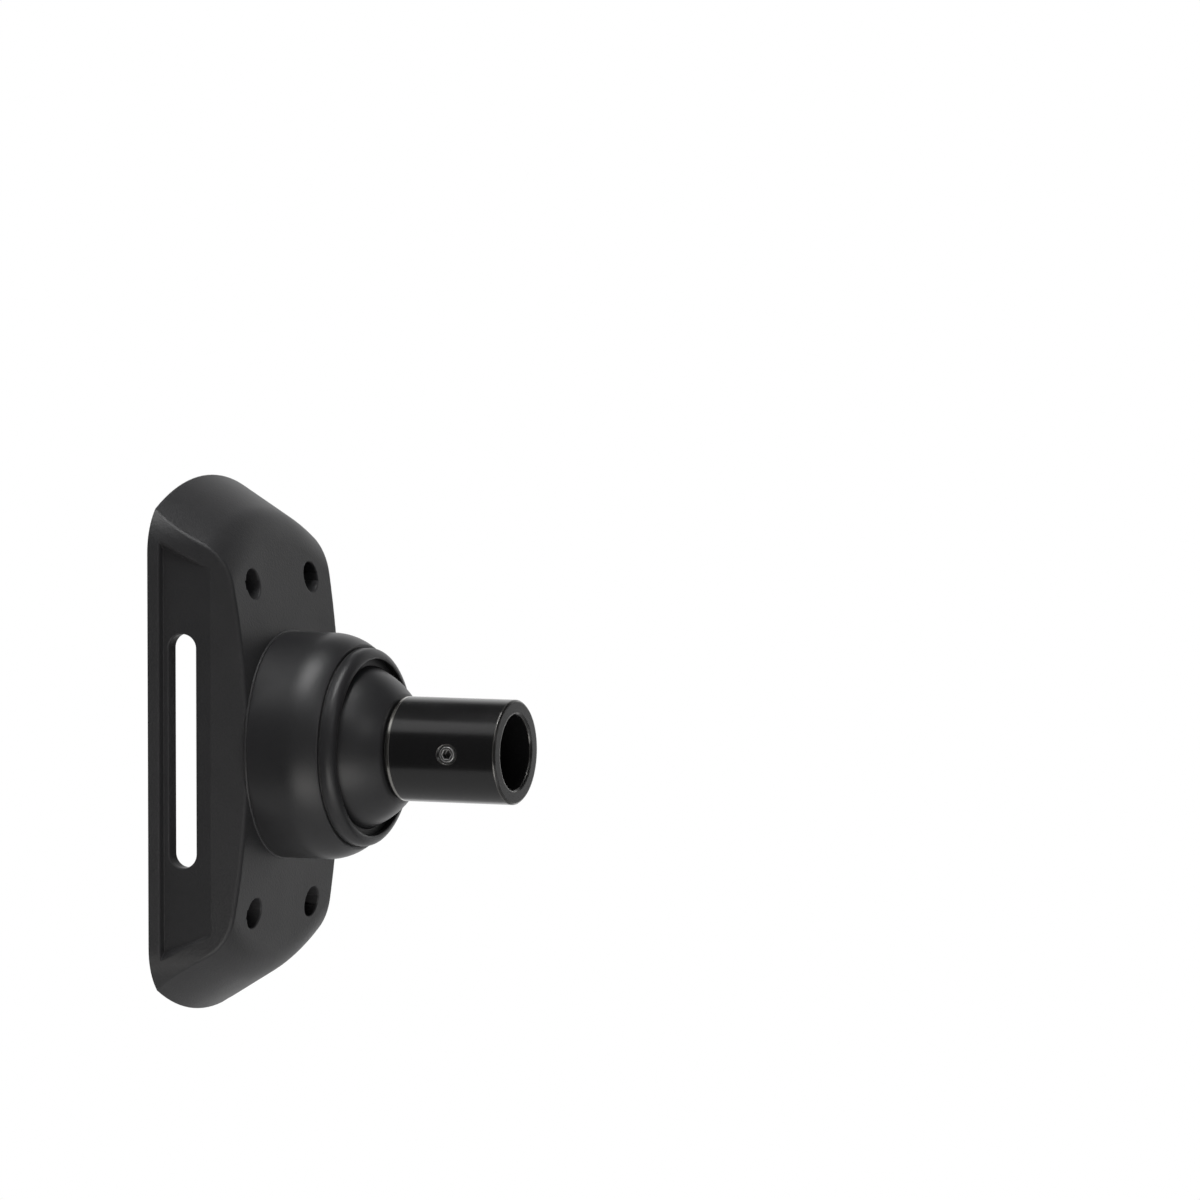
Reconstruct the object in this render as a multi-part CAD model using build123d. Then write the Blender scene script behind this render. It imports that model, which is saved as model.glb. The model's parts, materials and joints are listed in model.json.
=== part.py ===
# Speaker wall bracket: a moulded wall plate, a ball joint in a round housing, and a clamp sleeve for a stub.
# The wall is the plane Y = 0, the front faces -Y and Z is up. The origin is the middle of the screw pattern,
# on the wall. All lengths are millimetres, and "depth" is the distance in front of the wall.
from build123d import *
from math import copysign, cos, hypot, radians, sin, sqrt, tan
import os

# Wall plate: overall form
PLATE_HEIGHT = 180.0
PLATE_WIDTH = 90.0
PLATE_DEPTH = 32.6
FRONT_RADIUS = 330.0
END_ARC_RADIUS = 84.0
END_DRAFT = 31.0
END_BLEND = 18.0
SIDE_DRAFT = 15.0
SIDE_CORNER_SETBACK = 16.0
SIDE_CORNER_TURN = 43.6
SIDE_CORNER_RADIUS = 20.0
EDGE_BLEND = 1.5
PLATE_WALL = 3.0

# Wall plate: recessed side panels, and the strap slots through them
RIM_THICKNESS = 3.8
PANEL_DEPTH = 3.7
PANEL_DRAFT = 5.0
PANEL_BACK_SETBACK = 22.6
PANEL_FRONT_SETBACK = 30.4
PANEL_END_BEVEL = 3.4
PANEL_EDGE_ROUND = 0.8
SLOT_LENGTH = 78.0
SLOT_WIDTH = 9.5
SLOT_CENTRE_DEPTH = 10.5
SLOT_EDGE_ROUND = 0.5
SLOT_RIM_WIDTH = 2.0
SLOT_RIM_HEIGHT = 1.8

# Wall plate: screw wells, ribs, and the notch in the lower rim
SCREW_SPACING_X = 44.0
SCREW_SPACING_Z = 110.0
SCREW_HOLE_DIAMETER = 5.5
WELL_DIAMETER = 10.2
WELL_FLOOR = 5.0
WELL_NOTCH_REACH = 7.4
WELL_NOTCH_HEIGHT = 3.0
WELL_EDGE_ROUND = 0.4
WELL_WALL = 2.0
RIB_WIDTH = 2.4
RIB_HEIGHT = 8.0
NOTCH_WIDTH = 20.0
NOTCH_HEIGHT = 2.5
NOTCH_OFFSET = 20.0

# Clearances, and how near counts as touching
BALL_CLEARANCE = 0.1
RUN_CLEARANCE = 0.05
SEAT_CLEARANCE = 0.15
THREAD_CLEARANCE = 0.1
TOUCH = 0.02

# Ball, placed in front of the collar's seat
BALL_RADIUS = 29.0
BALL_STANDOFF = 20.0
BALL_FRONT_LAND = 0.4
BALL_REAR_FLAT = 18.0
BALL_BORE_RADIUS = 13.0
BALL_CHAMFER = 0.6

# Collar, sunk a little into the plate's front, and the screws that hold it from behind
COLLAR_RECESS = 2.6
COLLAR_LENGTH = 27.0
COLLAR_SHOULDER_LENGTH = 16.0
COLLAR_WALL = 5.0
COLLAR_FRONT_LAND = 1.2
COLLAR_SKIRT_ROUND = 0.5
COLLAR_SPIGOT_STEP = 4.2
COLLAR_LEDGE = 4.5
COLLAR_PAD = 4.0
COLLAR_SCREW_COUNT = 4
COLLAR_SCREW_RADIUS = 2.0
COLLAR_SCREW_TIP_WALL = 2.0
COLLAR_SCREW_HEAD_RADIUS = 3.4
COLLAR_SCREW_HEAD = 2.6
COLLAR_SCREW_SOCKET = 2.5

# Retaining ring, friction liners and the rubber ring behind them
RING_WALL = 2.0
RING_THREAD_LENGTH = 7.0
RING_GROOVE = 0.3
RING_GROOVE_DEPTH = 0.4
RING_NOSE_STEP = 0.2
RING_NOSE_LENGTH = 5.2
RING_NOSE_ROUND = 3.0
RING_LIP = 2.0
RING_LIP_REACH = 1.3
FRONT_LINER_THICKNESS = 2.0
FRONT_LINER_LENGTH = 6.5
REAR_LINER_THICKNESS = 3.0
REAR_LINER_SETBACK = 9.5
PRESSURE_RING_SECTION = 2.5

# Arm sleeve, its washer and nut behind the ball, and the clamp screw
STUB_BORE_DIAMETER = 25.0
STUB_BORE_LENGTH = 30.0
SLEEVE_WALL = 5.0
SLEEVE_LENGTH = 41.1
SLEEVE_BASE_CHAMFER = 1.5
SLEEVE_MOUTH_CHAMFER = 0.6
CABLE_WAY_RADIUS = 9.0
JOURNAL_STEP = 1.0
WASHER_RADIUS = 17.0
WASHER_THICKNESS = 1.5
NUT_RADIUS = 14.4
NUT_THICKNESS = 3.4
NUT_SLOT_COUNT = 4
NUT_SLOT_WIDTH = 4.0
NUT_SLOT_LENGTH = 1.1
CLAMP_SCREW_SETBACK = 17.5
CLAMP_SCREW_RADIUS = 3.0
CLAMP_SCREW_INSET = 0.3
CLAMP_SCREW_CHAMFER = 0.5
CLAMP_SCREW_SOCKET = 3.0
CLAMP_SCREW_SOCKET_LENGTH = 2.6
CLAMP_HOLE_CHAMFER = 0.6

# Radii that follow from the ball's and the stub's
SLEEVE_RADIUS = STUB_BORE_DIAMETER / 2 + SLEEVE_WALL
JOURNAL_END_RADIUS = BALL_BORE_RADIUS - JOURNAL_STEP
FRONT_LINER_RADIUS = BALL_RADIUS + FRONT_LINER_THICKNESS
SOCKET_BORE_RADIUS = BALL_RADIUS + REAR_LINER_THICKNESS
SOCKET_MOUTH_RADIUS = SOCKET_BORE_RADIUS - COLLAR_LEDGE
RING_THREAD_RADIUS = FRONT_LINER_RADIUS + RING_WALL
COLLAR_RADIUS = RING_THREAD_RADIUS + COLLAR_WALL
COLLAR_SPIGOT_RADIUS = COLLAR_RADIUS - COLLAR_SPIGOT_STEP
COLLAR_SCREW_CIRCLE = (SOCKET_MOUTH_RADIUS + COLLAR_SPIGOT_RADIUS) / 2

# Half the plate's width at the inside of its wall, where the strap slots are
SLOT_INNER_SIDE = PLATE_WIDTH / 2 - PANEL_DEPTH - SLOT_CENTRE_DEPTH * tan(radians(PANEL_DRAFT)) - PLATE_WALL

# Depths that follow from the plate's, from the back of the joint to the sleeve's mouth
SEAT_DEPTH = PLATE_DEPTH - COLLAR_RECESS
PAD_DEPTH = SEAT_DEPTH - COLLAR_PAD
BALL_DEPTH = SEAT_DEPTH + BALL_STANDOFF
WASHER_FRONT_DEPTH = BALL_DEPTH - BALL_REAR_FLAT - RUN_CLEARANCE
NUT_FRONT_DEPTH = WASHER_FRONT_DEPTH - WASHER_THICKNESS
NUT_BACK_DEPTH = NUT_FRONT_DEPTH - NUT_THICKNESS
REAR_LINER_DEPTH = BALL_DEPTH - REAR_LINER_SETBACK
FLOOR_DEPTH = REAR_LINER_DEPTH - PRESSURE_RING_SECTION
COLLAR_SCREW_TIP_DEPTH = FLOOR_DEPTH - COLLAR_SCREW_TIP_WALL
COLLAR_FRONT_DEPTH = SEAT_DEPTH + COLLAR_LENGTH
THREAD_BACK_DEPTH = COLLAR_FRONT_DEPTH - RING_THREAD_LENGTH
RING_FRONT_DEPTH = COLLAR_FRONT_DEPTH + RING_NOSE_LENGTH
RING_LIP_DEPTH = RING_FRONT_DEPTH - RING_LIP
BALL_FRONT_DEPTH = BALL_DEPTH + sqrt(BALL_RADIUS**2 - (SLEEVE_RADIUS + BALL_FRONT_LAND) ** 2)
SLEEVE_BASE_DEPTH = BALL_FRONT_DEPTH + RUN_CLEARANCE
SLEEVE_FRONT_DEPTH = SLEEVE_BASE_DEPTH + SLEEVE_LENGTH
CLAMP_SCREW_DEPTH = SLEEVE_FRONT_DEPTH - CLAMP_SCREW_SETBACK

# Sketch planes: FRONT draws X and Z, SIDE draws depth and Z, SECTION draws radius and depth.
# PANEL is the floor of the near recess, which leans in as it comes forward.
FRONT = Plane(origin=(0, 0, 0), x_dir=(1, 0, 0), z_dir=(0, -1, 0))
SIDE = Plane(origin=(0, 0, 0), x_dir=(0, -1, 0), z_dir=(-1, 0, 0))
SECTION = Plane(origin=(0, 0, 0), x_dir=(1, 0, 0), z_dir=(0, 0, -1))
PANEL_TURN = radians(PANEL_DRAFT)
PANEL = Plane(
    origin=(PANEL_DEPTH - PLATE_WIDTH / 2, 0, 0),
    x_dir=(sin(PANEL_TURN), -cos(PANEL_TURN), 0),
    z_dir=(-cos(PANEL_TURN), -sin(PANEL_TURN), 0),
)
ARM_AXIS = Axis((0, 0, 0), (0, -1, 0))


def disc(radius, depth, length, x=0.0, z=0.0):
    """A cylinder along the depth axis, from one depth and a length further forward."""
    return extrude(FRONT.offset(depth) * Pos(x, z) * Circle(radius), length)


def turned(points):
    """A solid turned about the arm axis from a closed outline of radius and depth."""
    return revolve(SECTION * make_face(Polyline(*points, close=True)), ARM_AXIS)


def ball_form(radius):
    """A sphere about the centre of the ball joint."""
    return Pos(0, -BALL_DEPTH, 0) * Sphere(radius)


def front_form(inset):
    """The barrel that curves the plate's front, about an axis along X behind the wall."""
    barrel = Rot(0, 90, 0) * Cylinder(FRONT_RADIUS - inset, 2 * PLATE_WIDTH)
    return Pos(0, FRONT_RADIUS - PLATE_DEPTH, 0) * barrel


def end_outline(shrink):
    """The outline that sets the plate's two end slopes: an arc across each end."""
    top = PLATE_HEIGHT / 2 - shrink
    side = PLATE_WIDTH / 2 + PLATE_WALL
    corner = top - END_ARC_RADIUS + sqrt(END_ARC_RADIUS**2 - side**2)
    upper = ThreePointArc((-side, corner), (0, top), (side, corner))
    lower = ThreePointArc((side, -corner), (0, -top), (-side, -corner))
    return make_face([upper, Line(upper @ 1, lower @ 0), lower, Line(lower @ 1, upper @ 0)])


def side_outline(shrink):
    """The outline that sets the plate's two sides: straight, then turned in with a round corner at each end."""
    turn = radians(SIDE_CORNER_TURN)
    side = PLATE_WIDTH / 2 - shrink
    reach = cos(turn) * PLATE_WIDTH / 2 + sin(turn) * (PLATE_HEIGHT / 2 - SIDE_CORNER_SETBACK) - shrink
    corner = (reach - cos(turn) * side) / sin(turn)
    peak = reach / sin(turn)
    points = [(side, -corner), (side, corner), (0, peak), (-side, corner), (-side, -corner), (0, -peak)]
    outline = make_face(Polyline(*points, close=True))
    corners = [v for v in outline.vertices() if abs(v.X) > side / 2]
    return fillet(corners, SIDE_CORNER_RADIUS - shrink)


def drafted(outline, draft, inset):
    """An outline drawn in by an inset and drafted from the wall to past the plate's front."""
    length = PLATE_DEPTH + PLATE_WALL
    start = inset / cos(radians(draft))
    back = FRONT * outline(start)
    front = FRONT.offset(length) * outline(start + length * tan(radians(draft)))
    return loft([back, front], ruled=True)


def plate_form(inset):
    """The plate's solid form, drawn in by an inset: curved front, blended end slopes, drafted sides."""
    ends = drafted(end_outline, END_DRAFT, inset) & front_form(inset)
    crest = ends.faces().sort_by(Axis.Y)[0]
    end_edges = crest.edges().sort_by(Axis.Z)
    ends = fillet([end_edges[0], end_edges[-1]], END_BLEND - inset)
    return ends & drafted(side_outline, SIDE_DRAFT, inset)


def rounded_plate_form():
    """The plate's outside, with the edge between each side and the front rounded."""
    form = plate_form(0)
    faces = [f for f in form.faces() if f.normal_at(f.center()).Y < -0.1]
    side_edges = [e for f in faces if abs(f.normal_at(f.center()).X) > 0.3 for e in f.edges()]
    front_edges = [e for f in faces if abs(f.normal_at(f.center()).X) < 0.3 for e in f.edges()]
    creases = [e for e in side_edges if any(e.is_same(other) for other in front_edges)]
    return fillet(creases, EDGE_BLEND)


def side_panel(grow):
    """The recess in the near side of the plate: flat floor, bevelled ends, run out at the front."""
    back = RIM_THICKNESS - grow
    run_out = PANEL_DEPTH / (tan(radians(SIDE_DRAFT)) - tan(radians(PANEL_DRAFT))) + PLATE_WALL
    outlines = []
    for plane, bevel in ((PANEL.offset(-grow), 0), (SIDE.offset(PLATE_WIDTH / 2), PANEL_END_BEVEL)):
        back_z = PLATE_HEIGHT / 2 - PANEL_BACK_SETBACK + grow + bevel
        front_z = PLATE_HEIGHT / 2 - PANEL_FRONT_SETBACK + grow + bevel
        corners = [(back, -back_z), (run_out, -front_z), (run_out, front_z), (back, back_z)]
        outlines.append(plane * make_face(Polyline(*corners, close=True)))
    return loft(outlines, ruled=True)


def panel_edges(plate, recess):
    """The edges where a recess's back and ends meet the plate's outside."""
    faces = [f for f in plate.faces() if any(r.distance_to(f.center()) < TOUCH for r in recess.faces())]
    floor = max(faces, key=lambda face: face.area)
    edges = [e for f in faces for e in f.edges()]
    outer = [e for e in edges if sum(e.is_same(other) for other in edges) == 1]
    return [e for e in outer if not any(e.is_same(other) for other in floor.edges())]


def both_sides(near):
    """A piece on the near side and its mirror image on the far side."""
    return [near, near.mirror(Plane.YZ)]


def strap_slot(grow, half_width, length):
    """The strap slot's prism, from a half width outwards."""
    outline = SlotOverall(SLOT_LENGTH + 2 * grow, SLOT_WIDTH + 2 * grow, rotation=90)
    return extrude(SIDE.offset(half_width) * Pos(SLOT_CENTRE_DEPTH, 0) * outline, length)


def slot_edges(plate):
    """The edges of both strap slots in the floors of the recesses."""
    edges = [e for e in plate.edges() if abs(e.center().X) > SLOT_INNER_SIDE + PLATE_WALL / 2]
    edges = [e for e in edges if abs(e.center().Z) < SLOT_LENGTH / 2 + TOUCH]
    return [e for e in edges if abs(-e.center().Y - SLOT_CENTRE_DEPTH) < SLOT_WIDTH / 2 + TOUCH]


def screw_places():
    """The X and Z of the four wall screws."""
    xs = (-SCREW_SPACING_X / 2, SCREW_SPACING_X / 2)
    zs = (-SCREW_SPACING_Z / 2, SCREW_SPACING_Z / 2)
    return [(x, z) for x in xs for z in zs]


def well_edges(plate, x, z):
    """The edges of a screw well's mouth in the plate's front."""
    near = [e for e in plate.edges() if hypot(e.center().X - x, e.center().Z - z) < WELL_NOTCH_REACH + TOUCH]
    return [e for e in near if e.center().Y < -PLATE_DEPTH / 2 and e.bounding_box().size.Y < WELL_FLOOR]


def collar_screw_prisms(outline, depth, length):
    """An outline drawn at each of the collar's screws and extruded forward from a depth."""
    places = PolarLocations(COLLAR_SCREW_CIRCLE, COLLAR_SCREW_COUNT, start_angle=180 / COLLAR_SCREW_COUNT)
    return [extrude(FRONT.offset(depth) * place * outline, length) for place in places]


def make_wall_plate():
    """The moulded shell, open to the wall."""
    outer = rounded_plate_form()
    cavity = plate_form(PLATE_WALL)
    plate = outer
    recesses = both_sides(side_panel(0))
    for recess in recesses:
        plate -= recess
    for walled in both_sides(side_panel(PLATE_WALL)):
        cavity -= walled
    plate -= cavity

    boss_radius = WELL_NOTCH_REACH + WELL_WALL
    inside = disc(COLLAR_RADIUS, PAD_DEPTH, PLATE_DEPTH)
    rib_start = COLLAR_SCREW_CIRCLE / sqrt(2) + COLLAR_SCREW_HEAD_RADIUS + RIB_WIDTH
    rib_length = SCREW_SPACING_Z / 2 - rib_start
    rib = Box(RIB_WIDTH, RIB_HEIGHT, rib_length, align=(Align.CENTER, Align.MIN, Align.CENTER))
    for x, z in screw_places():
        inside += disc(boss_radius, 0, PLATE_DEPTH, x, z)
        inside += Pos(x, -PLATE_DEPTH, copysign(rib_start + rib_length / 2, z)) * rib
    plate += inside & outer

    rim_side = SLOT_INNER_SIDE - SLOT_RIM_HEIGHT
    for rim in both_sides(strap_slot(SLOT_RIM_WIDTH, rim_side, SLOT_RIM_HEIGHT + PLATE_WALL / 2)):
        plate += rim
    for slot in both_sides(strap_slot(0, rim_side - SLOT_RIM_HEIGHT, PLATE_WIDTH)):
        plate -= slot
    for x, z in screw_places():
        notch = Pos(copysign(WELL_NOTCH_REACH / 2, x)) * Rectangle(WELL_NOTCH_REACH, WELL_NOTCH_HEIGHT)
        well = Circle(WELL_DIAMETER / 2) + notch
        plate -= extrude(FRONT.offset(WELL_FLOOR) * Pos(x, z) * well, PLATE_DEPTH)
        plate -= disc(SCREW_HOLE_DIAMETER / 2, 0, PLATE_DEPTH, x, z)
    plate -= disc(COLLAR_SPIGOT_RADIUS + SEAT_CLEARANCE, SEAT_DEPTH, PLATE_DEPTH)
    plate -= disc(SOCKET_MOUTH_RADIUS, 0, PLATE_DEPTH)
    for hole in collar_screw_prisms(Circle(COLLAR_SCREW_RADIUS + SEAT_CLEARANCE), 0, PLATE_DEPTH):
        plate -= hole
    cable_notch = Box(NOTCH_WIDTH, 2 * NOTCH_HEIGHT, PLATE_HEIGHT / 4)
    plate -= Pos(NOTCH_OFFSET, 0, -PLATE_HEIGHT / 2) * cable_notch

    for recess in recesses:
        plate = fillet(panel_edges(plate, recess), PANEL_EDGE_ROUND)
    plate = fillet(slot_edges(plate), SLOT_EDGE_ROUND)
    for x, z in screw_places():
        plate = fillet(well_edges(plate, x, z), WELL_EDGE_ROUND)
    return plate


def make_collar():
    """The socket housing: a cup with a round shoulder, its skirt trimmed to the plate's curve."""
    thread_bore = RING_THREAD_RADIUS + THREAD_CLEARANCE
    front_radius = thread_bore + COLLAR_FRONT_LAND
    wall = Polyline(
        (front_radius, COLLAR_FRONT_DEPTH),
        (thread_bore, COLLAR_FRONT_DEPTH),
        (thread_bore, THREAD_BACK_DEPTH),
        (SOCKET_BORE_RADIUS, THREAD_BACK_DEPTH),
        (SOCKET_BORE_RADIUS, FLOOR_DEPTH),
        (SOCKET_MOUTH_RADIUS, FLOOR_DEPTH),
        (SOCKET_MOUTH_RADIUS, 0),
        (COLLAR_RADIUS, 0),
        (COLLAR_RADIUS, SEAT_DEPTH + COLLAR_SHOULDER_LENGTH),
    )
    shoulder = TangentArc(wall @ 1, wall @ 0, tangent=(0, 1))
    cup = revolve(SECTION * make_face(wall + shoulder), ARM_AXIS)
    cup -= front_form(-SEAT_CLEARANCE)
    outside = cup.faces().filter_by(GeomType.CYLINDER).sort_by(lambda face: face.radius)[-1]
    skirt = outside.edges().filter_by(GeomType.LINE, reverse=True).sort_by(Axis.Y)[-1]
    cup = fillet(skirt, COLLAR_SKIRT_ROUND)
    spigot = disc(COLLAR_SPIGOT_RADIUS, SEAT_DEPTH, FLOOR_DEPTH - SEAT_DEPTH)
    cup += spigot - disc(SOCKET_MOUTH_RADIUS, 0, BALL_DEPTH)
    pilot = Circle(COLLAR_SCREW_RADIUS + THREAD_CLEARANCE)
    pilot_length = COLLAR_SCREW_TIP_DEPTH - SEAT_DEPTH + SEAT_CLEARANCE
    for hole in collar_screw_prisms(pilot, SEAT_DEPTH, pilot_length):
        cup -= hole
    return cup


def make_collar_screws():
    """The four screws that hold the collar from behind the plate."""
    back = PAD_DEPTH - COLLAR_SCREW_HEAD
    heads = collar_screw_prisms(Circle(COLLAR_SCREW_HEAD_RADIUS), back, COLLAR_SCREW_HEAD)
    shanks = collar_screw_prisms(Circle(COLLAR_SCREW_RADIUS), PAD_DEPTH, COLLAR_SCREW_TIP_DEPTH - PAD_DEPTH)
    hexagon = RegularPolygon(COLLAR_SCREW_SOCKET / 2, 6, major_radius=False)
    sockets = collar_screw_prisms(hexagon, back, COLLAR_SCREW_SOCKET / 2)
    return Compound(children=[h + k - s for h, k, s in zip(heads, shanks, sockets)])


def make_retaining_ring():
    """The stepped ring screwed into the collar, with its lip round the ball."""
    back = THREAD_BACK_DEPTH + SEAT_CLEARANCE
    nose_back = COLLAR_FRONT_DEPTH + RING_GROOVE
    nose_radius = RING_THREAD_RADIUS + RING_NOSE_STEP
    groove_radius = RING_THREAD_RADIUS - RING_GROOVE_DEPTH
    lip_radius = FRONT_LINER_RADIUS - RING_LIP_REACH
    outline = Polyline(
        (nose_radius - RING_NOSE_ROUND, RING_FRONT_DEPTH),
        (lip_radius, RING_FRONT_DEPTH),
        (lip_radius, RING_LIP_DEPTH),
        (FRONT_LINER_RADIUS, RING_LIP_DEPTH),
        (FRONT_LINER_RADIUS, back),
        (RING_THREAD_RADIUS, back),
        (RING_THREAD_RADIUS, COLLAR_FRONT_DEPTH),
        (groove_radius, COLLAR_FRONT_DEPTH),
        (groove_radius, nose_back),
        (nose_radius, nose_back),
        (nose_radius, RING_FRONT_DEPTH - RING_NOSE_ROUND),
    )
    nose = TangentArc(outline @ 1, outline @ 0, tangent=(0, 1))
    return revolve(SECTION * make_face(outline + nose), ARM_AXIS)


def make_liner(radius, back, front):
    """A friction liner: a ring with a round seat for the ball."""
    return disc(radius, back, front - back) - ball_form(BALL_RADIUS + BALL_CLEARANCE)


def make_front_liner():
    """The liner behind the ring's lip."""
    front = RING_LIP_DEPTH - RUN_CLEARANCE
    return make_liner(FRONT_LINER_RADIUS - RUN_CLEARANCE, front - FRONT_LINER_LENGTH, front)


def make_rear_liner():
    """The liner behind the ball, up to the ring's thread."""
    front = THREAD_BACK_DEPTH - THREAD_CLEARANCE
    return make_liner(SOCKET_BORE_RADIUS - RUN_CLEARANCE, REAR_LINER_DEPTH, front)


def make_pressure_ring():
    """The rubber ring between the collar's floor and the rear liner."""
    section = PRESSURE_RING_SECTION / 2 - RUN_CLEARANCE
    middle = SOCKET_BORE_RADIUS - PRESSURE_RING_SECTION / 2
    place = Pos(0, -(FLOOR_DEPTH + PRESSURE_RING_SECTION / 2), 0)
    return place * Rot(90, 0, 0) * Torus(middle, section)


def make_ball():
    """The ball, flat in front for the sleeve and behind for the washer, bored for the sleeve's journal."""
    back = BALL_DEPTH - BALL_REAR_FLAT
    ball = ball_form(BALL_RADIUS) & disc(BALL_RADIUS, back, BALL_FRONT_DEPTH - back)
    ball = chamfer(ball.edges().filter_by(GeomType.CIRCLE), BALL_CHAMFER)
    return ball - disc(BALL_BORE_RADIUS, 0, SLEEVE_FRONT_DEPTH)


def make_arm_sleeve():
    """The clamp sleeve, with its journal through the ball and the cable way through both."""
    bore = STUB_BORE_DIAMETER / 2
    journal = BALL_BORE_RADIUS - RUN_CLEARANCE
    bore_floor = SLEEVE_FRONT_DEPTH - STUB_BORE_LENGTH
    sleeve = turned([
        (SLEEVE_RADIUS - SLEEVE_BASE_CHAMFER, SLEEVE_BASE_DEPTH),
        (SLEEVE_RADIUS, SLEEVE_BASE_DEPTH + SLEEVE_BASE_CHAMFER),
        (SLEEVE_RADIUS, SLEEVE_FRONT_DEPTH - SLEEVE_MOUTH_CHAMFER),
        (SLEEVE_RADIUS - SLEEVE_MOUTH_CHAMFER, SLEEVE_FRONT_DEPTH),
        (bore + SLEEVE_MOUTH_CHAMFER, SLEEVE_FRONT_DEPTH),
        (bore, SLEEVE_FRONT_DEPTH - SLEEVE_MOUTH_CHAMFER),
        (bore, bore_floor),
        (CABLE_WAY_RADIUS, bore_floor),
        (CABLE_WAY_RADIUS, NUT_BACK_DEPTH),
        (JOURNAL_END_RADIUS, NUT_BACK_DEPTH),
        (JOURNAL_END_RADIUS, WASHER_FRONT_DEPTH),
        (journal, WASHER_FRONT_DEPTH),
        (journal, SLEEVE_BASE_DEPTH),
    ])
    hole = Circle(CLAMP_SCREW_RADIUS)
    mouth = Circle(CLAMP_SCREW_RADIUS + 2 * CLAMP_HOLE_CHAMFER)
    place = Pos(CLAMP_SCREW_DEPTH, 0)
    sleeve -= extrude(SIDE * place * hole, SLEEVE_RADIUS)
    edge = SLEEVE_RADIUS - CLAMP_HOLE_CHAMFER
    flare = [SIDE.offset(edge) * place * hole, SIDE.offset(edge + 2 * CLAMP_HOLE_CHAMFER) * place * mouth]
    return sleeve - loft(flare, ruled=True)


def make_thrust_washer():
    """The washer between the ball's rear flat and the nut."""
    ring = disc(WASHER_RADIUS, NUT_FRONT_DEPTH, WASHER_THICKNESS)
    return ring - disc(JOURNAL_END_RADIUS + RUN_CLEARANCE, 0, BALL_DEPTH)


def make_lock_nut():
    """The slotted ring nut on the journal's end."""
    slot = Rectangle(2 * NUT_SLOT_LENGTH, NUT_SLOT_WIDTH)
    outline = Circle(NUT_RADIUS) - Circle(JOURNAL_END_RADIUS + RUN_CLEARANCE)
    outline -= PolarLocations(NUT_RADIUS, NUT_SLOT_COUNT) * slot
    return extrude(FRONT.offset(NUT_BACK_DEPTH) * outline, NUT_THICKNESS)


def make_clamp_screw():
    """The socket grub screw that clamps the stub, flush in the sleeve's wall."""
    outer_end = SLEEVE_RADIUS - CLAMP_SCREW_INSET
    inner_end = STUB_BORE_DIAMETER / 2 + RUN_CLEARANCE
    place = Pos(CLAMP_SCREW_DEPTH, 0)
    body = extrude(SIDE.offset(inner_end) * place * Circle(CLAMP_SCREW_RADIUS), outer_end - inner_end)
    rim = body.edges().filter_by(GeomType.CIRCLE).sort_by(Axis.X)[0]
    body = chamfer(rim, CLAMP_SCREW_CHAMFER)
    socket = RegularPolygon(CLAMP_SCREW_SOCKET / 2, 6, major_radius=False)
    return body - extrude(SIDE.offset(outer_end) * place * socket, -CLAMP_SCREW_SOCKET_LENGTH)


NODES = {
    "wall_plate": make_wall_plate,
    "collar": make_collar,
    "collar_screws": make_collar_screws,
    "retaining_ring": make_retaining_ring,
    "front_liner": make_front_liner,
    "rear_liner": make_rear_liner,
    "pressure_ring": make_pressure_ring,
    "ball": make_ball,
    "arm_sleeve": make_arm_sleeve,
    "thrust_washer": make_thrust_washer,
    "lock_nut": make_lock_nut,
    "clamp_screw": make_clamp_screw,
}

os.makedirs("parts", exist_ok=True)
for name, make in NODES.items():
    export_step(make(), f"parts/{name}.step")
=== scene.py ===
"""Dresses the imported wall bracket: its finishes, a pale stage, soft light and the camera.

Lengths are in metres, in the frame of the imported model: the wall plane is y = 0,
the arm points along -Y and +Z is up.
"""

from __future__ import annotations

import json
import logging
import math
from dataclasses import dataclass, replace
from enum import Enum
from typing import ClassVar

import bmesh
import bpy
from mathutils import Matrix, Vector

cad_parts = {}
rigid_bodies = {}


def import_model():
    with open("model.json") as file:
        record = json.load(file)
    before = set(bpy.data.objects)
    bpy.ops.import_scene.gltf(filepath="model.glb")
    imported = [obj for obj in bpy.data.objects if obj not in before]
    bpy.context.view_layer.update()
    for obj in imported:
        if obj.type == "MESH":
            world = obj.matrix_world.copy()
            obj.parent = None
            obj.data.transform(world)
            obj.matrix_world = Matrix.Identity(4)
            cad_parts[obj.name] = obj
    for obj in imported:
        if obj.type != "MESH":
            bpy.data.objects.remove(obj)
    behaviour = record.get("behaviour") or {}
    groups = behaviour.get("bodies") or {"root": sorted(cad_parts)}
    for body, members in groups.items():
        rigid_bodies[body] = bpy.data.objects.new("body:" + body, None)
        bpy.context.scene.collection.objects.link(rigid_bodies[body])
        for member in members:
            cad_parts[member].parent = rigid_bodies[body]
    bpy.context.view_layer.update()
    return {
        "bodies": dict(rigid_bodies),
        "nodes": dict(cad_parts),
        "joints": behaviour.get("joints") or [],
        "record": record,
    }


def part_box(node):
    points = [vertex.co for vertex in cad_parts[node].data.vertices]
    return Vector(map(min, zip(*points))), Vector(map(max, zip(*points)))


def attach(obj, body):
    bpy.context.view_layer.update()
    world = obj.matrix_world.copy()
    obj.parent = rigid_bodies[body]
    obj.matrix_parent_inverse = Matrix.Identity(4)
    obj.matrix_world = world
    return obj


LOG = logging.getLogger("bracket")
OPAQUE = 1.0
WHITE = (1.0, 1.0, 1.0)

Colour = tuple[float, float, float]
Point = tuple[float, float, float]
Socket = bpy.types.NodeSocket
Sockets = bpy.types.bpy_prop_collection


class Effect(Enum):
    """The shader node groups that several finishes share."""

    GRAIN = "surface_grain"
    # The edge group's mask lightens edges: partly rubbed wear, partly a painted highlight.
    EDGE = "edge_polish"
    TURNED = "turned_lines"


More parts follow.
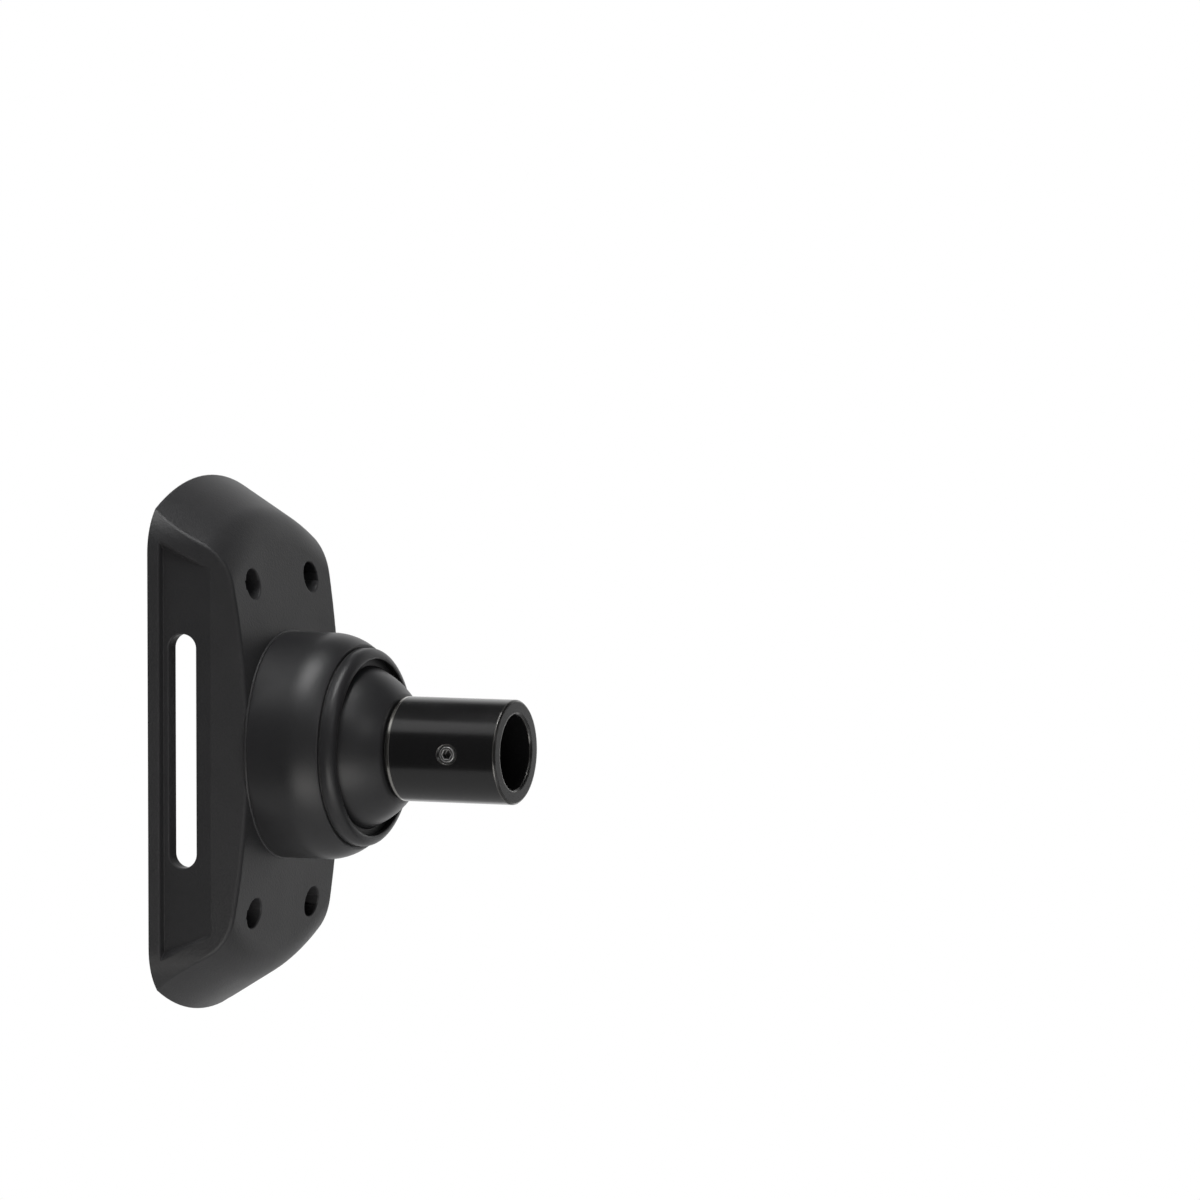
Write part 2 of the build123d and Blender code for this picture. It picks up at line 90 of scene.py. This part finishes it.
class Nodes:
    """A node tree with short calls to add nodes and to join them."""

    spacing: ClassVar[int] = 180

    def __init__(self, tree: bpy.types.NodeTree) -> None:
        """Empties the tree and keeps it.

        Args:
            tree: The tree of a material, a world or a group.
        """
        self.tree = tree
        tree.nodes.clear()

    def add(self, kind: str, **values: object) -> bpy.types.Node:
        """Adds one node.

        Args:
            kind: The node's type name.
            **values: Properties to set on the node.

        Returns:
            The new node.
        """
        node = self.tree.nodes.new(kind)
        node.location = (len(self.tree.nodes) * self.spacing, 0)
        for name, value in values.items():
            setattr(node, name, value)
        return node

    def join(self, source: Socket, target: Socket) -> None:
        """Links an output to an input."""
        self.tree.links.new(source, target)

    def feed(self, value: Socket | Colour | float, target: Socket) -> None:
        """Links an input to a socket, or sets it to a colour or a number.

        Args:
            value: What the input gets.
            target: The input.
        """
        if isinstance(value, Socket):
            self.join(value, target)
        elif target.type == "RGBA":
            target.default_value = (*value, OPAQUE)
        else:
            target.default_value = value

    def math(
        self,
        operation: str,
        first: Socket | float,
        second: Socket | float = 0.0,
        clamp: bool = False,
    ) -> Socket:
        """Adds a Math node whose inputs are sockets or numbers.

        Args:
            operation: The Math node's operation.
            first: A socket or a number.
            second: A socket or a number.
            clamp: Whether the result is held between 0 and 1.

        Returns:
            The node's output.
        """
        node = self.add("ShaderNodeMath", operation=operation, use_clamp=clamp)
        for target, value in zip(node.inputs, (first, second)):
            self.feed(value, target)
        return node.outputs[0]

    def blend(self, mask: Socket, low: Socket | Colour, high: Socket | Colour) -> Socket:
        """Mixes two colours by a mask.

        Args:
            mask: The factor, 0 for the low colour and 1 for the high one.
            low: A socket or a colour.
            high: A socket or a colour.

        Returns:
            The mixed colour.
        """
        node = self.add("ShaderNodeMix", data_type="RGBA")
        self.join(mask, node.inputs["Factor"])
        colours = [socket for socket in node.inputs if socket.type == "RGBA"]
        for target, value in zip(colours, (low, high)):
            self.feed(value, target)
        return next(socket for socket in node.outputs if socket.type == "RGBA")

    def spread(self, value: Socket, low: float, high: float) -> Socket:
        """Maps a 0 to 1 value to a range.

        Args:
            value: The value to map.
            low: The result at 0.
            high: The result at 1.

        Returns:
            The mapped value.
        """
        node = self.add("ShaderNodeMapRange")
        self.join(value, node.inputs["Value"])
        node.inputs["To Min"].default_value = low
        node.inputs["To Max"].default_value = high
        return node.outputs["Result"]

    def rise(self, value: Socket, start: float, end: float) -> Socket:
        """Turns a value into a mask that rises smoothly.

        Args:
            value: The value to map.
            start: Where the mask leaves 0.
            end: Where the mask reaches 1.

        Returns:
            The mask.
        """
        node = self.add("ShaderNodeMapRange", interpolation_type="SMOOTHSTEP")
        self.join(value, node.inputs["Value"])
        node.inputs["From Min"].default_value = start
        node.inputs["From Max"].default_value = end
        return node.outputs["Result"]


class EffectLibrary:
    """Builds the shared node groups once and places them in materials."""

    grain_detail: ClassVar[float] = 2.0
    mottle_detail: ClassVar[float] = 4.0
    line_detail: ClassVar[float] = 2.0
    edge_samples: ClassVar[int] = 6

    def __init__(self) -> None:
        """Builds every group."""
        self.groups = {
            Effect.GRAIN: self._grain(),
            Effect.EDGE: self._edge(),
            Effect.TURNED: self._turned(),
        }

    @staticmethod
    def _group(
        effect: Effect, inputs: dict[str, float], outputs: dict[str, str]
    ) -> tuple[Nodes, Sockets, Sockets]:
        """Starts a group with named sockets.

        Args:
            effect: Which group it is.
            inputs: Each input's name and default value.
            outputs: Each output's name and socket type.

        Returns:
            The group's nodes, its inputs and its outputs by name.
        """
        tree = bpy.data.node_groups.new(effect.value, "ShaderNodeTree")
        for name, value in inputs.items():
            socket = tree.interface.new_socket(name, in_out="INPUT", socket_type="NodeSocketFloat")
            socket.default_value = value
        for name, kind in outputs.items():
            tree.interface.new_socket(name, in_out="OUTPUT", socket_type=kind)
        nodes = Nodes(tree)
        return nodes, nodes.add("NodeGroupInput").outputs, nodes.add("NodeGroupOutput").inputs

    def _grain(self) -> bpy.types.NodeTree:
        """Builds the fine texture of a moulded surface and a slow change of tone.

        Returns:
            The group, whose outputs lie between 0 and 1.
        """
        nodes, given, made = self._group(
            Effect.GRAIN,
            {"Grain Size": 0.0004, "Mottle Size": 0.02},
            {"Height": "NodeSocketFloat", "Mottle": "NodeSocketFloat"},
        )
        place = nodes.add("ShaderNodeTexCoord").outputs["Object"]
        for size, detail, result in (
            ("Grain Size", self.grain_detail, "Height"),
            ("Mottle Size", self.mottle_detail, "Mottle"),
        ):
            noise = nodes.add("ShaderNodeTexNoise")
            nodes.join(place, noise.inputs["Vector"])
            nodes.join(nodes.math("DIVIDE", 1.0, given[size]), noise.inputs["Scale"])
            noise.inputs["Detail"].default_value = detail
            nodes.join(noise.outputs["Fac"], made[result])
        return nodes.tree

    def _edge(self) -> bpy.types.NodeTree:
        """Builds the softened line along a piece's edges, whose mask lightens them partly as rubbed wear
        and partly as a painted highlight.

        Returns:
            The group, with a mask of the edges and a rounded normal.
        """
        nodes, given, made = self._group(
            Effect.EDGE,
            {"Edge Width": 0.0005, "Gain": 6.0},
            {"Edge": "NodeSocketFloat", "Normal": "NodeSocketVector"},
        )
        soft = nodes.add("ShaderNodeBevel", samples=self.edge_samples)
        nodes.join(given["Edge Width"], soft.inputs["Radius"])
        plain = nodes.add("ShaderNodeNewGeometry").outputs["Normal"]
        turn = nodes.add("ShaderNodeVectorMath", operation="DOT_PRODUCT")
        nodes.join(soft.outputs["Normal"], turn.inputs[0])
        nodes.join(plain, turn.inputs[1])
        bend = nodes.math("SUBTRACT", 1.0, turn.outputs["Value"], clamp=True)
        nodes.join(nodes.math("MULTIPLY", bend, given["Gain"], clamp=True), made["Edge"])
        nodes.join(soft.outputs["Normal"], made["Normal"])
        return nodes.tree

    def _turned(self) -> bpy.types.NodeTree:
        """Builds the fine rings that a lathe leaves round the bracket's axis.

        Returns:
            The group, whose output lies between 0 and 1.
        """
        nodes, given, made = self._group(Effect.TURNED, {"Pitch": 0.0002}, {"Height": "NodeSocketFloat"})
        place = nodes.add("ShaderNodeTexCoord").outputs["Object"]
        axes = nodes.add("ShaderNodeSeparateXYZ")
        nodes.join(place, axes.inputs[0])
        squares = [nodes.math("MULTIPLY", axes.outputs[axis], axes.outputs[axis]) for axis in ("X", "Z")]
        radius = nodes.math("SQRT", nodes.math("ADD", *squares))
        along = nodes.math("DIVIDE", nodes.math("ADD", axes.outputs["Y"], radius), given["Pitch"])
        lines = nodes.add("ShaderNodeTexNoise", noise_dimensions="1D")
        nodes.join(along, lines.inputs["W"])
        lines.inputs["Scale"].default_value = 1.0
        lines.inputs["Detail"].default_value = self.line_detail
        nodes.join(lines.outputs["Fac"], made["Height"])
        return nodes.tree

    def place(self, nodes: Nodes, effect: Effect, **values: float) -> Sockets:
        """Adds a group to a material with its own values.

        Args:
            nodes: The material's nodes.
            effect: Which group to add.
            **values: Input values, with underscores for the spaces in their names.

        Returns:
            The group's outputs.
        """
        node = nodes.add("ShaderNodeGroup", node_tree=self.groups[effect])
        for name, value in values.items():
            node.inputs[name.replace("_", " ")].default_value = value
        return node.outputs


@dataclass(frozen=True)
class Finish:
    """A surface finish: colour, gloss, fine texture and lighter edges, partly rubbed wear and partly a
    painted highlight.

    Attributes:
        name: The material's name.
        colour: The base colour.
        roughness: The middle of the roughness.
        ior: The index of refraction.
        metallic: How metallic the surface is, where its edges aren't bare metal.
        tone_change: The share by which the colour varies.
        roughness_change: By how much the roughness varies.
        mottle_size: The size of the patches in which both vary.
        edge_width: The width of the softened edges.
        edge_wear_highlight_colour: The lighter colour of the edges, partly rubbed wear and partly a
            painted highlight.
        edge_wear_highlight_share: How much of that colour shows.
        edge_gain: How soon an edge counts as worn or highlighted.
        edge_metal: How metallic the rubbed edges are.
    """

    name: str
    colour: Colour
    roughness: float
    ior: float = 1.5
    metallic: float = 0.0
    tone_change: float = 0.12
    roughness_change: float = 0.06
    mottle_size: float = 0.018
    edge_width: float = 0.0005
    edge_wear_highlight_colour: Colour = (0.09, 0.09, 0.092)
    edge_wear_highlight_share: float = 0.35
    edge_gain: float = 6.0
    edge_metal: float = 0.0

    def relief(self, nodes: Nodes, effects: EffectLibrary) -> tuple[Socket, float]:
        """Adds the finish's fine relief.

        Args:
            nodes: The material's nodes.
            effects: The shared groups.

        Returns:
            The relief's height between 0 and 1, and its depth in metres.
        """
        raise NotImplementedError

    def bright(self, nodes: Nodes, edge: Socket) -> Socket:
        """Marks where the finish is rubbed, cut bright or given a painted highlight.

        Args:
            nodes: The material's nodes.
            edge: The mask of the piece's edges.

        Returns:
            The mask of the bright places.
        """
        return edge

    def material(self, effects: EffectLibrary) -> bpy.types.Material:
        """Builds the material.

        Args:
            effects: The shared groups.

        Returns:
            The new material.
        """
        material = bpy.data.materials.new(self.name)
        material.use_nodes = True
        nodes = Nodes(material.node_tree)
        height, depth = self.relief(nodes, effects)
        grain = effects.place(nodes, Effect.GRAIN, Mottle_Size=self.mottle_size)
        edge = effects.place(nodes, Effect.EDGE, Edge_Width=self.edge_width, Gain=self.edge_gain)
        bright = self.bright(nodes, edge["Edge"])

        dark, light = (
            tuple(part * (1.0 + sign * self.tone_change) for part in self.colour) for sign in (-1, 1)
        )
        tone = nodes.blend(grain["Mottle"], dark, light)
        # Lighter colour along the edges: rubbed wear, and on some finishes a painted highlight line.
        edge_wear_highlight_mask = nodes.math("MULTIPLY", bright, self.edge_wear_highlight_share)
        gloss = nodes.spread(
            grain["Mottle"],
            self.roughness - self.roughness_change,
            self.roughness + self.roughness_change,
        )
        bump = nodes.add("ShaderNodeBump")
        bump.inputs["Distance"].default_value = depth
        nodes.join(height, bump.inputs["Height"])
        nodes.join(edge["Normal"], bump.inputs["Normal"])

        shader = nodes.add("ShaderNodeBsdfPrincipled")
        shader.inputs["IOR"].default_value = self.ior
        if self.edge_metal:
            nodes.join(nodes.math("MULTIPLY", bright, self.edge_metal), shader.inputs["Metallic"])
        else:
            shader.inputs["Metallic"].default_value = self.metallic
        nodes.join(nodes.blend(edge_wear_highlight_mask, tone, self.edge_wear_highlight_colour), shader.inputs["Base Color"])
        nodes.join(gloss, shader.inputs["Roughness"])
        nodes.join(bump.outputs["Normal"], shader.inputs["Normal"])
        nodes.join(shader.outputs["BSDF"], nodes.add("ShaderNodeOutputMaterial").inputs["Surface"])
        return material


@dataclass(frozen=True)
class MouldedFinish(Finish):
    """Plastic or rubber with the grain of its mould.

    Attributes:
        grain_size: The size of the grain.
        grain_depth: The depth of the grain.
    """

    grain_size: float = 0.0004
    grain_depth: float = 0.00002

    def relief(self, nodes: Nodes, effects: EffectLibrary) -> tuple[Socket, float]:
        """The mould's grain, as Finish.relief says."""
        grain = effects.place(nodes, Effect.GRAIN, Grain_Size=self.grain_size)
        return grain["Height"], self.grain_depth


@dataclass(frozen=True)
class TurnedFinish(Finish):
    """Metal with the fine rings of a lathe and, where it has one, a bright-cut band.

    Attributes:
        line_pitch: The distance between the rings.
        line_depth: The depth of the rings.
        band_place: The band's middle, as a y in the frame.
        band_width: The band's width, or 0 for none.
        band_fade: How far the band's border fades.
    """

    line_pitch: float = 0.00025
    line_depth: float = 0.000004
    band_place: float = 0.0
    band_width: float = 0.0
    band_fade: float = 0.0004

    def relief(self, nodes: Nodes, effects: EffectLibrary) -> tuple[Socket, float]:
        """The lathe's rings, as Finish.relief says."""
        lines = effects.place(nodes, Effect.TURNED, Pitch=self.line_pitch)
        return lines["Height"], self.line_depth

    def bright(self, nodes: Nodes, edge: Socket) -> Socket:
        """Marks the edges and the bright-cut band.

        Args:
            nodes: The material's nodes.
            edge: The mask of the piece's edges.

        Returns:
            The mask of the bright places.
        """
        if not self.band_width:
            return edge
        axes = nodes.add("ShaderNodeSeparateXYZ")
        nodes.join(nodes.add("ShaderNodeTexCoord").outputs["Object"], axes.inputs[0])
        away = nodes.math("ABSOLUTE", nodes.math("SUBTRACT", axes.outputs["Y"], self.band_place))
        inside = nodes.math("SUBTRACT", self.band_width / 2.0, away)
        band = nodes.math("DIVIDE", inside, self.band_fade, clamp=True)
        return nodes.math("MAXIMUM", band, edge)


PLATE = MouldedFinish(
    "plate_texture",
    (0.034, 0.034, 0.036),
    0.48,
    grain_size=0.0007,
    grain_depth=0.00009,
)
NOTCH_END = replace(PLATE, name="plate_texture_inside", edge_width=0.00001, edge_wear_highlight_share=0.0)
# The housing's edges take a light grey: a painted highlight line along the edges, with some rubbed wear.
HOUSING = MouldedFinish(
    "satin_black",
    (0.028, 0.028, 0.030),
    0.4,
    edge_width=0.001,
    edge_wear_highlight_colour=(0.13, 0.13, 0.132),
    edge_wear_highlight_share=0.7,
)
LINER = MouldedFinish("friction_plastic", (0.022, 0.022, 0.023), 0.5, edge_wear_highlight_colour=(0.04, 0.04, 0.04))
RUBBER = MouldedFinish("soft_rubber", (0.03, 0.03, 0.03), 0.75, edge_wear_highlight_colour=(0.05, 0.05, 0.05))
WASHER = MouldedFinish("natural_plastic", (0.55, 0.54, 0.5), 0.5, edge_wear_highlight_colour=(0.65, 0.64, 0.6))
SLEEVE = TurnedFinish(
    "black_anodised",
    (0.010, 0.010, 0.0105),
    0.2,
    ior=1.6,
    edge_width=0.0006,
    edge_wear_highlight_colour=(0.4, 0.39, 0.37),
    edge_wear_highlight_share=1.0,
    edge_metal=1.0,
    band_place=-0.0745,
    band_width=0.002,
)
NUT = TurnedFinish("zinc_plated", (0.5, 0.5, 0.5), 0.35, metallic=1.0, edge_wear_highlight_colour=(0.7, 0.7, 0.7))
# The screw's bright edge ring is painted: partly bare steel worn through the oxide, partly a painted
# highlight.
SCREW = TurnedFinish(
    "black_oxide",
    (0.1, 0.1, 0.102),
    0.36,
    metallic=0.4,
    edge_width=0.0004,
    edge_wear_highlight_colour=(0.75, 0.75, 0.74),
    edge_wear_highlight_share=0.9,
    edge_gain=40.0,
)


class SubAssembly:
    """A group of CAD nodes and the finish of each."""

    finishes: ClassVar[dict[str, Finish]] = {}

    def dress(self, frame: dict, materials: dict[Finish, bpy.types.Material]) -> None:
        """Gives every node of the group its material.

        Args:
            frame: The loaded frame.
            materials: The made material of each finish.
        """
        for node, finish in self.finishes.items():
            frame["nodes"][node].material_slots[0].material = materials[finish]
            LOG.info("%s: %s", node, finish.name)

    def add(self, name: str, shape: bmesh.types.BMesh, body: str, slot: str) -> bpy.types.Object:
        """Makes a piece of a finished bmesh and lets it ride on a body.

        Args:
            name: The piece's name.
            shape: The piece's mesh, which is freed.
            body: The body that carries it.
            slot: The name of a material slot; not used.

        Returns:
            The new piece.
        """
        mesh = bpy.data.meshes.new(name)
        bmesh.ops.recalc_face_normals(shape, faces=shape.faces)
        shape.to_mesh(mesh)
        shape.free()
        piece = bpy.data.objects.new(name, mesh)
        bpy.context.scene.collection.objects.link(piece)
        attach(piece, body)
        LOG.info("%s: a new piece on %s", name, body)
        return piece


@dataclass
class Base(SubAssembly):
    """The plate, the collar and what they hold still.

    Attributes:
        well_spacing: The distance between the screw wells, across and up.
        well_floor: The wells' floor, measured from the wall.
        front_radius: The radius of the plate's curved front.
        notch_ends: Where the notches of the near and the far wells end, from a well's axis.
        notch_cover: How far the block in a notch reaches, from the well's axis.
        notch_height: The height of a block.
        lip_round: The radius of a block's lip.
        lip_steps: The facets of the lip.
        skirt_round: The radius of the bead at the collar's foot.
        skirt_sides: The facets round the bead.
        skirt_steps: The steps of the bead round the collar.
    """

    well_spacing: tuple[float, float] = (0.044, 0.11)
    well_floor: float = 0.005
    front_radius: float = 0.33
    notch_ends: tuple[float, float] = (0.0056, 0.0051)
    notch_cover: float = 0.0079
    notch_height: float = 0.0038
    lip_round: float = 0.0004
    lip_steps: int = 4
    skirt_round: float = 0.0005
    skirt_sides: int = 12
    skirt_steps: int = 160

    finishes = {
        "wall_plate": PLATE,
        "collar": HOUSING,
        "collar_screws": SCREW,
        "retaining_ring": HOUSING,
        "pressure_ring": RUBBER,
    }

    def front_fall(self, height: float) -> float:
        """Says how far the plate's curved front falls back at a height.

        Args:
            height: The height above the bracket's axis.

        Returns:
            The distance behind the front's foremost line.
        """
        return self.front_radius - math.sqrt(self.front_radius**2 - height**2)

    def build_notch_ends(self, material: bpy.types.Material) -> None:
        """Ends the notch of each screw well close to the well, as a block behind a rounded lip.

        Args:
            material: The blocks' material.
        """
        depth = -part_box("wall_plate")[0].y
        x, z = (spacing / 2.0 for spacing in self.well_spacing)
        slope = math.asin(z / self.front_radius)
        front = self.front_fall(z) - depth
        length = -self.well_floor - front
        blocks = bmesh.new()
        for side, notch_end in zip((-1.0, 1.0), self.notch_ends):
            width = self.notch_cover - notch_end
            for end in (-1.0, 1.0):
                block = bmesh.ops.create_cube(blocks, size=1.0)["verts"]
                bmesh.ops.translate(blocks, verts=block, vec=(0.5, 0.5, 0.0))
                bmesh.ops.scale(blocks, verts=block, vec=(width, length, self.notch_height))
                lip = [
                    edge
                    for edge in {edge for vert in block for edge in vert.link_edges}
                    if all(vert.co.x < width / 2.0 and vert.co.y < length / 2.0 for vert in edge.verts)
                ]
                rounded = bmesh.ops.bevel(
                    blocks,
                    geom=lip,
                    offset=self.lip_round,
                    affect="EDGES",
                    segments=self.lip_steps,
                    profile=0.5,
                    material=-1,
                )
                block = list({vert for vert in block if vert.is_valid} | set(rounded["verts"]))
                bmesh.ops.rotate(blocks, verts=block, matrix=Matrix.Rotation(-end * slope, 3, "X"))
                bmesh.ops.scale(blocks, verts=block, vec=(side, 1.0, 1.0))
                bmesh.ops.translate(blocks, verts=block, vec=(side * (x + notch_end), front, end * z))
        self.add("well_notch_ends", blocks, "base", "plate").data.materials.append(material)

    def build_skirt(self, material: bpy.types.Material) -> None:
        """Rounds the collar's foot, where it stands on the plate's curved front.

        Args:
            material: The collar's material.
        """
        depth = -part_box("wall_plate")[0].y
        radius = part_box("collar")[1].x
        skirt = bmesh.new()
        bmesh.ops.create_circle(skirt, segments=self.skirt_sides, radius=self.skirt_round)
        bmesh.ops.translate(skirt, verts=skirt.verts, vec=(radius, 0.0, 0.0))
        bmesh.ops.spin(
            skirt,
            geom=list(skirt.edges),
            cent=(0.0, 0.0, 0.0),
            axis=(0.0, 1.0, 0.0),
            angle=math.tau,
            steps=self.skirt_steps,
            use_merge=True,
        )
        for vert in skirt.verts:
            vert.co.y += self.front_fall(vert.co.z) - depth
        for face in skirt.faces:
            face.smooth = True
        self.add("collar_skirt", skirt, "base", "housing").data.materials.append(material)


class BallJoint(SubAssembly):
    """The ball and its two friction liners."""

    finishes = {"ball": HOUSING, "front_liner": LINER, "rear_liner": LINER}


class Arm(SubAssembly):
    """The sleeve, its nut, its washer and the clamp screw."""

    finishes = {"arm_sleeve": SLEEVE, "thrust_washer": WASHER, "lock_nut": NUT, "clamp_screw": SCREW}


@dataclass(frozen=True)
class SoftBox:
    """A rectangular area lamp that looks at a point."""

    name: str
    place: Point
    width: float
    height: float
    power: float
    colour: Colour = WHITE
    aim: Point = (0.0, -0.05, 0.0)

    def build(self) -> None:
        """Adds the lamp to the scene."""
        lamp = bpy.data.lights.new(self.name, "AREA")
        lamp.shape = "RECTANGLE"
        lamp.size = self.width
        lamp.size_y = self.height
        lamp.energy = self.power
        lamp.color = self.colour
        holder = bpy.data.objects.new(self.name, lamp)
        holder.location = self.place
        holder.visible_camera = False
        holder.rotation_mode = "QUATERNION"
        holder.rotation_quaternion = (Vector(self.place) - Vector(self.aim)).to_track_quat("Z", "Y")
        bpy.context.scene.collection.objects.link(holder)


@dataclass
class Studio:
    """The floor, the world, the lamps and the camera.

    Attributes:
        floor_drop: The floor's distance below the bracket's axis.
        floor_radius: The floor's radius.
        floor_sides: The facets of the floor's rim.
        floor_fade: The radius from which the floor fades to white.
        floor_white: The share of the radius at which it is white.
        floor_tone: The grey of the paint.
        floor_mirrored: The grey that a glossy surface mirrors.
        room_tone: The grey of the room round the stage.
        backdrop_edge: The cosines, from the line of sight, between which the mirrored backdrop rises.
        camera_place: Where the camera stands.
        camera_back: The direction opposite to the camera's line of sight.
        camera_lens: The focal length in millimetres.
        camera_sensor: The sensor's width in millimetres.
        camera_reach: The farthest distance that the camera sees.
        lamps: The soft boxes round the stage.
    """

    floor_drop: float = 0.55
    floor_radius: float = 0.75
    floor_sides: int = 128
    floor_fade: float = 0.35
    floor_white: float = 0.95
    floor_tone: float = 0.8
    floor_mirrored: float = 0.42
    room_tone: float = 0.04
    backdrop_edge: tuple[float, float] = (0.6, 0.9)
    camera_place: Point = (-2.4972, -1.2402, 0.2241)
    camera_back: Point = (-0.91388, -0.40104, 0.06318)
    camera_lens: float = 248.5
    camera_sensor: float = 36.0
    camera_reach: float = 50.0
    lamps: tuple[SoftBox, ...] = (
        SoftBox("top_box", (-0.2, -0.05, 0.95), 0.4, 0.6, 4.5),
        SoftBox("side_box", (-0.55, -0.05, 0.82), 0.4, 0.5, 0.5),
        SoftBox("wall_box", (-0.52, 0.4, 0.8), 0.42, 0.42, 0.5),
        SoftBox("high_box", (-0.48, -0.94, 0.55), 0.35, 0.35, 0.7),
        SoftBox("low_box", (-0.5, -0.25, -0.5), 0.6, 0.6, 2.5, (1.0, 0.98, 0.95)),
        SoftBox("front_box", (-0.25, -0.6, -0.45), 0.5, 0.5, 0.6),
        SoftBox("key_box", (-0.52, -0.45, 0.75), 0.3, 0.3, 0.45),
        SoftBox("far_box", (0.24, -0.14, 0.02), 0.15, 0.4, 0.075),
        SoftBox("rear_box", (0.7, 0.9, 0.6), 0.6, 0.6, 9.0),
    )

    def build(self) -> None:
        """Makes the whole stage."""
        self._floor()
        self._world()
        for lamp in self.lamps:
            lamp.build()
        self._camera()

    def _floor(self) -> None:
        """Makes a round pale floor that fades to white at its rim."""
        disc = bmesh.new()
        bmesh.ops.create_circle(disc, cap_ends=True, segments=self.floor_sides, radius=self.floor_radius)
        bmesh.ops.translate(disc, verts=disc.verts, vec=(0.0, 0.0, -self.floor_drop))
        mesh = bpy.data.meshes.new("floor")
        disc.to_mesh(mesh)
        disc.free()
        floor = bpy.data.objects.new("floor", mesh)
        bpy.context.scene.collection.objects.link(floor)
        mesh.materials.append(self._floor_material())

    def _floor_material(self) -> bpy.types.Material:
        """Makes pale paint that takes a shadow in the middle and is white at the rim.

        Returns:
            The new material.
        """
        material = bpy.data.materials.new("pale_floor")
        material.use_nodes = True
        nodes = Nodes(material.node_tree)
        place = nodes.add("ShaderNodeTexCoord").outputs["Object"]
        flat = nodes.add("ShaderNodeVectorMath", operation="MULTIPLY")
        flat.inputs[1].default_value = (1.0, 1.0, 0.0)
        nodes.join(place, flat.inputs[0])
        length = nodes.add("ShaderNodeVectorMath", operation="LENGTH")
        nodes.join(flat.outputs[0], length.inputs[0])
        rim = nodes.rise(length.outputs["Value"], self.floor_fade, self.floor_radius * self.floor_white)
        path = nodes.add("ShaderNodeLightPath").outputs
        straight = nodes.math("MAXIMUM", path["Is Camera Ray"], path["Is Transmission Ray"])
        seen = nodes.math("MULTIPLY", rim, straight)
        paint = nodes.add("ShaderNodeBsdfDiffuse")
        nodes.feed((self.floor_tone,) * 3, paint.inputs["Color"])
        white = nodes.add("ShaderNodeEmission")
        nodes.feed(WHITE, white.inputs["Color"])
        nodes.join(nodes.math("MAXIMUM", straight, self.floor_mirrored), white.inputs["Strength"])
        mix = nodes.add("ShaderNodeMixShader")
        nodes.join(nodes.math("MAXIMUM", seen, path["Is Glossy Ray"]), mix.inputs["Fac"])
        nodes.join(paint.outputs[0], mix.inputs[1])
        nodes.join(white.outputs[0], mix.inputs[2])
        nodes.join(mix.outputs[0], nodes.add("ShaderNodeOutputMaterial").inputs["Surface"])
        return material

    def _world(self) -> None:
        """Makes a white backdrop for what the camera sees, and a dim room for the rest."""
        world = bpy.data.worlds.new("studio")
        bpy.context.scene.world = world
        world.use_nodes = True
        nodes = Nodes(world.node_tree)
        path = nodes.add("ShaderNodeLightPath").outputs
        depth = nodes.add("ShaderNodeVectorMath", operation="DOT_PRODUCT")
        nodes.join(nodes.add("ShaderNodeTexCoord").outputs["Generated"], depth.inputs[0])
        depth.inputs[1].default_value = [-part for part in self.camera_back]
        behind = nodes.rise(depth.outputs["Value"], *self.backdrop_edge)
        mirrored = nodes.math("MULTIPLY", path["Is Glossy Ray"], behind)
        straight = nodes.math("MAXIMUM", path["Is Camera Ray"], path["Is Transmission Ray"])
        room = nodes.add("ShaderNodeBackground")
        nodes.feed((self.room_tone,) * 3, room.inputs["Color"])
        backdrop = nodes.add("ShaderNodeBackground")
        nodes.feed(WHITE, backdrop.inputs["Color"])
        mix = nodes.add("ShaderNodeMixShader")
        nodes.join(nodes.math("MAXIMUM", straight, mirrored), mix.inputs["Fac"])
        nodes.join(room.outputs[0], mix.inputs[1])
        nodes.join(backdrop.outputs[0], mix.inputs[2])
        nodes.join(mix.outputs[0], nodes.add("ShaderNodeOutputWorld").inputs["Surface"])

    def _camera(self) -> None:
        """Adds the camera, with a long lens."""
        data = bpy.data.cameras.new("camera")
        data.sensor_width = self.camera_sensor
        data.lens = self.camera_lens
        data.clip_end = self.camera_reach
        camera = bpy.data.objects.new("camera", data)
        camera.location = self.camera_place
        camera.rotation_mode = "QUATERNION"
        camera.rotation_quaternion = Vector(self.camera_back).to_track_quat("Z", "Y")
        bpy.context.scene.collection.objects.link(camera)
        bpy.context.scene.camera = camera


def main() -> None:
    """Loads the frame, dresses it and sets the stage."""
    logging.basicConfig(level=logging.INFO, format="%(name)s %(message)s")
    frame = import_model()
    bpy.context.scene.view_settings.view_transform = "Standard"
    effects = EffectLibrary()
    base = Base()
    groups = (base, BallJoint(), Arm())
    used = {finish for group in groups for finish in group.finishes.values()} | {NOTCH_END}
    ordered = sorted(used, key=lambda finish: finish.name)
    materials = {finish: finish.material(effects) for finish in ordered}
    for group in groups:
        group.dress(frame, materials)
    base.build_notch_ends(materials[NOTCH_END])
    base.build_skirt(materials[HOUSING])
    Studio().build()


if __name__ == "__main__":
    main()
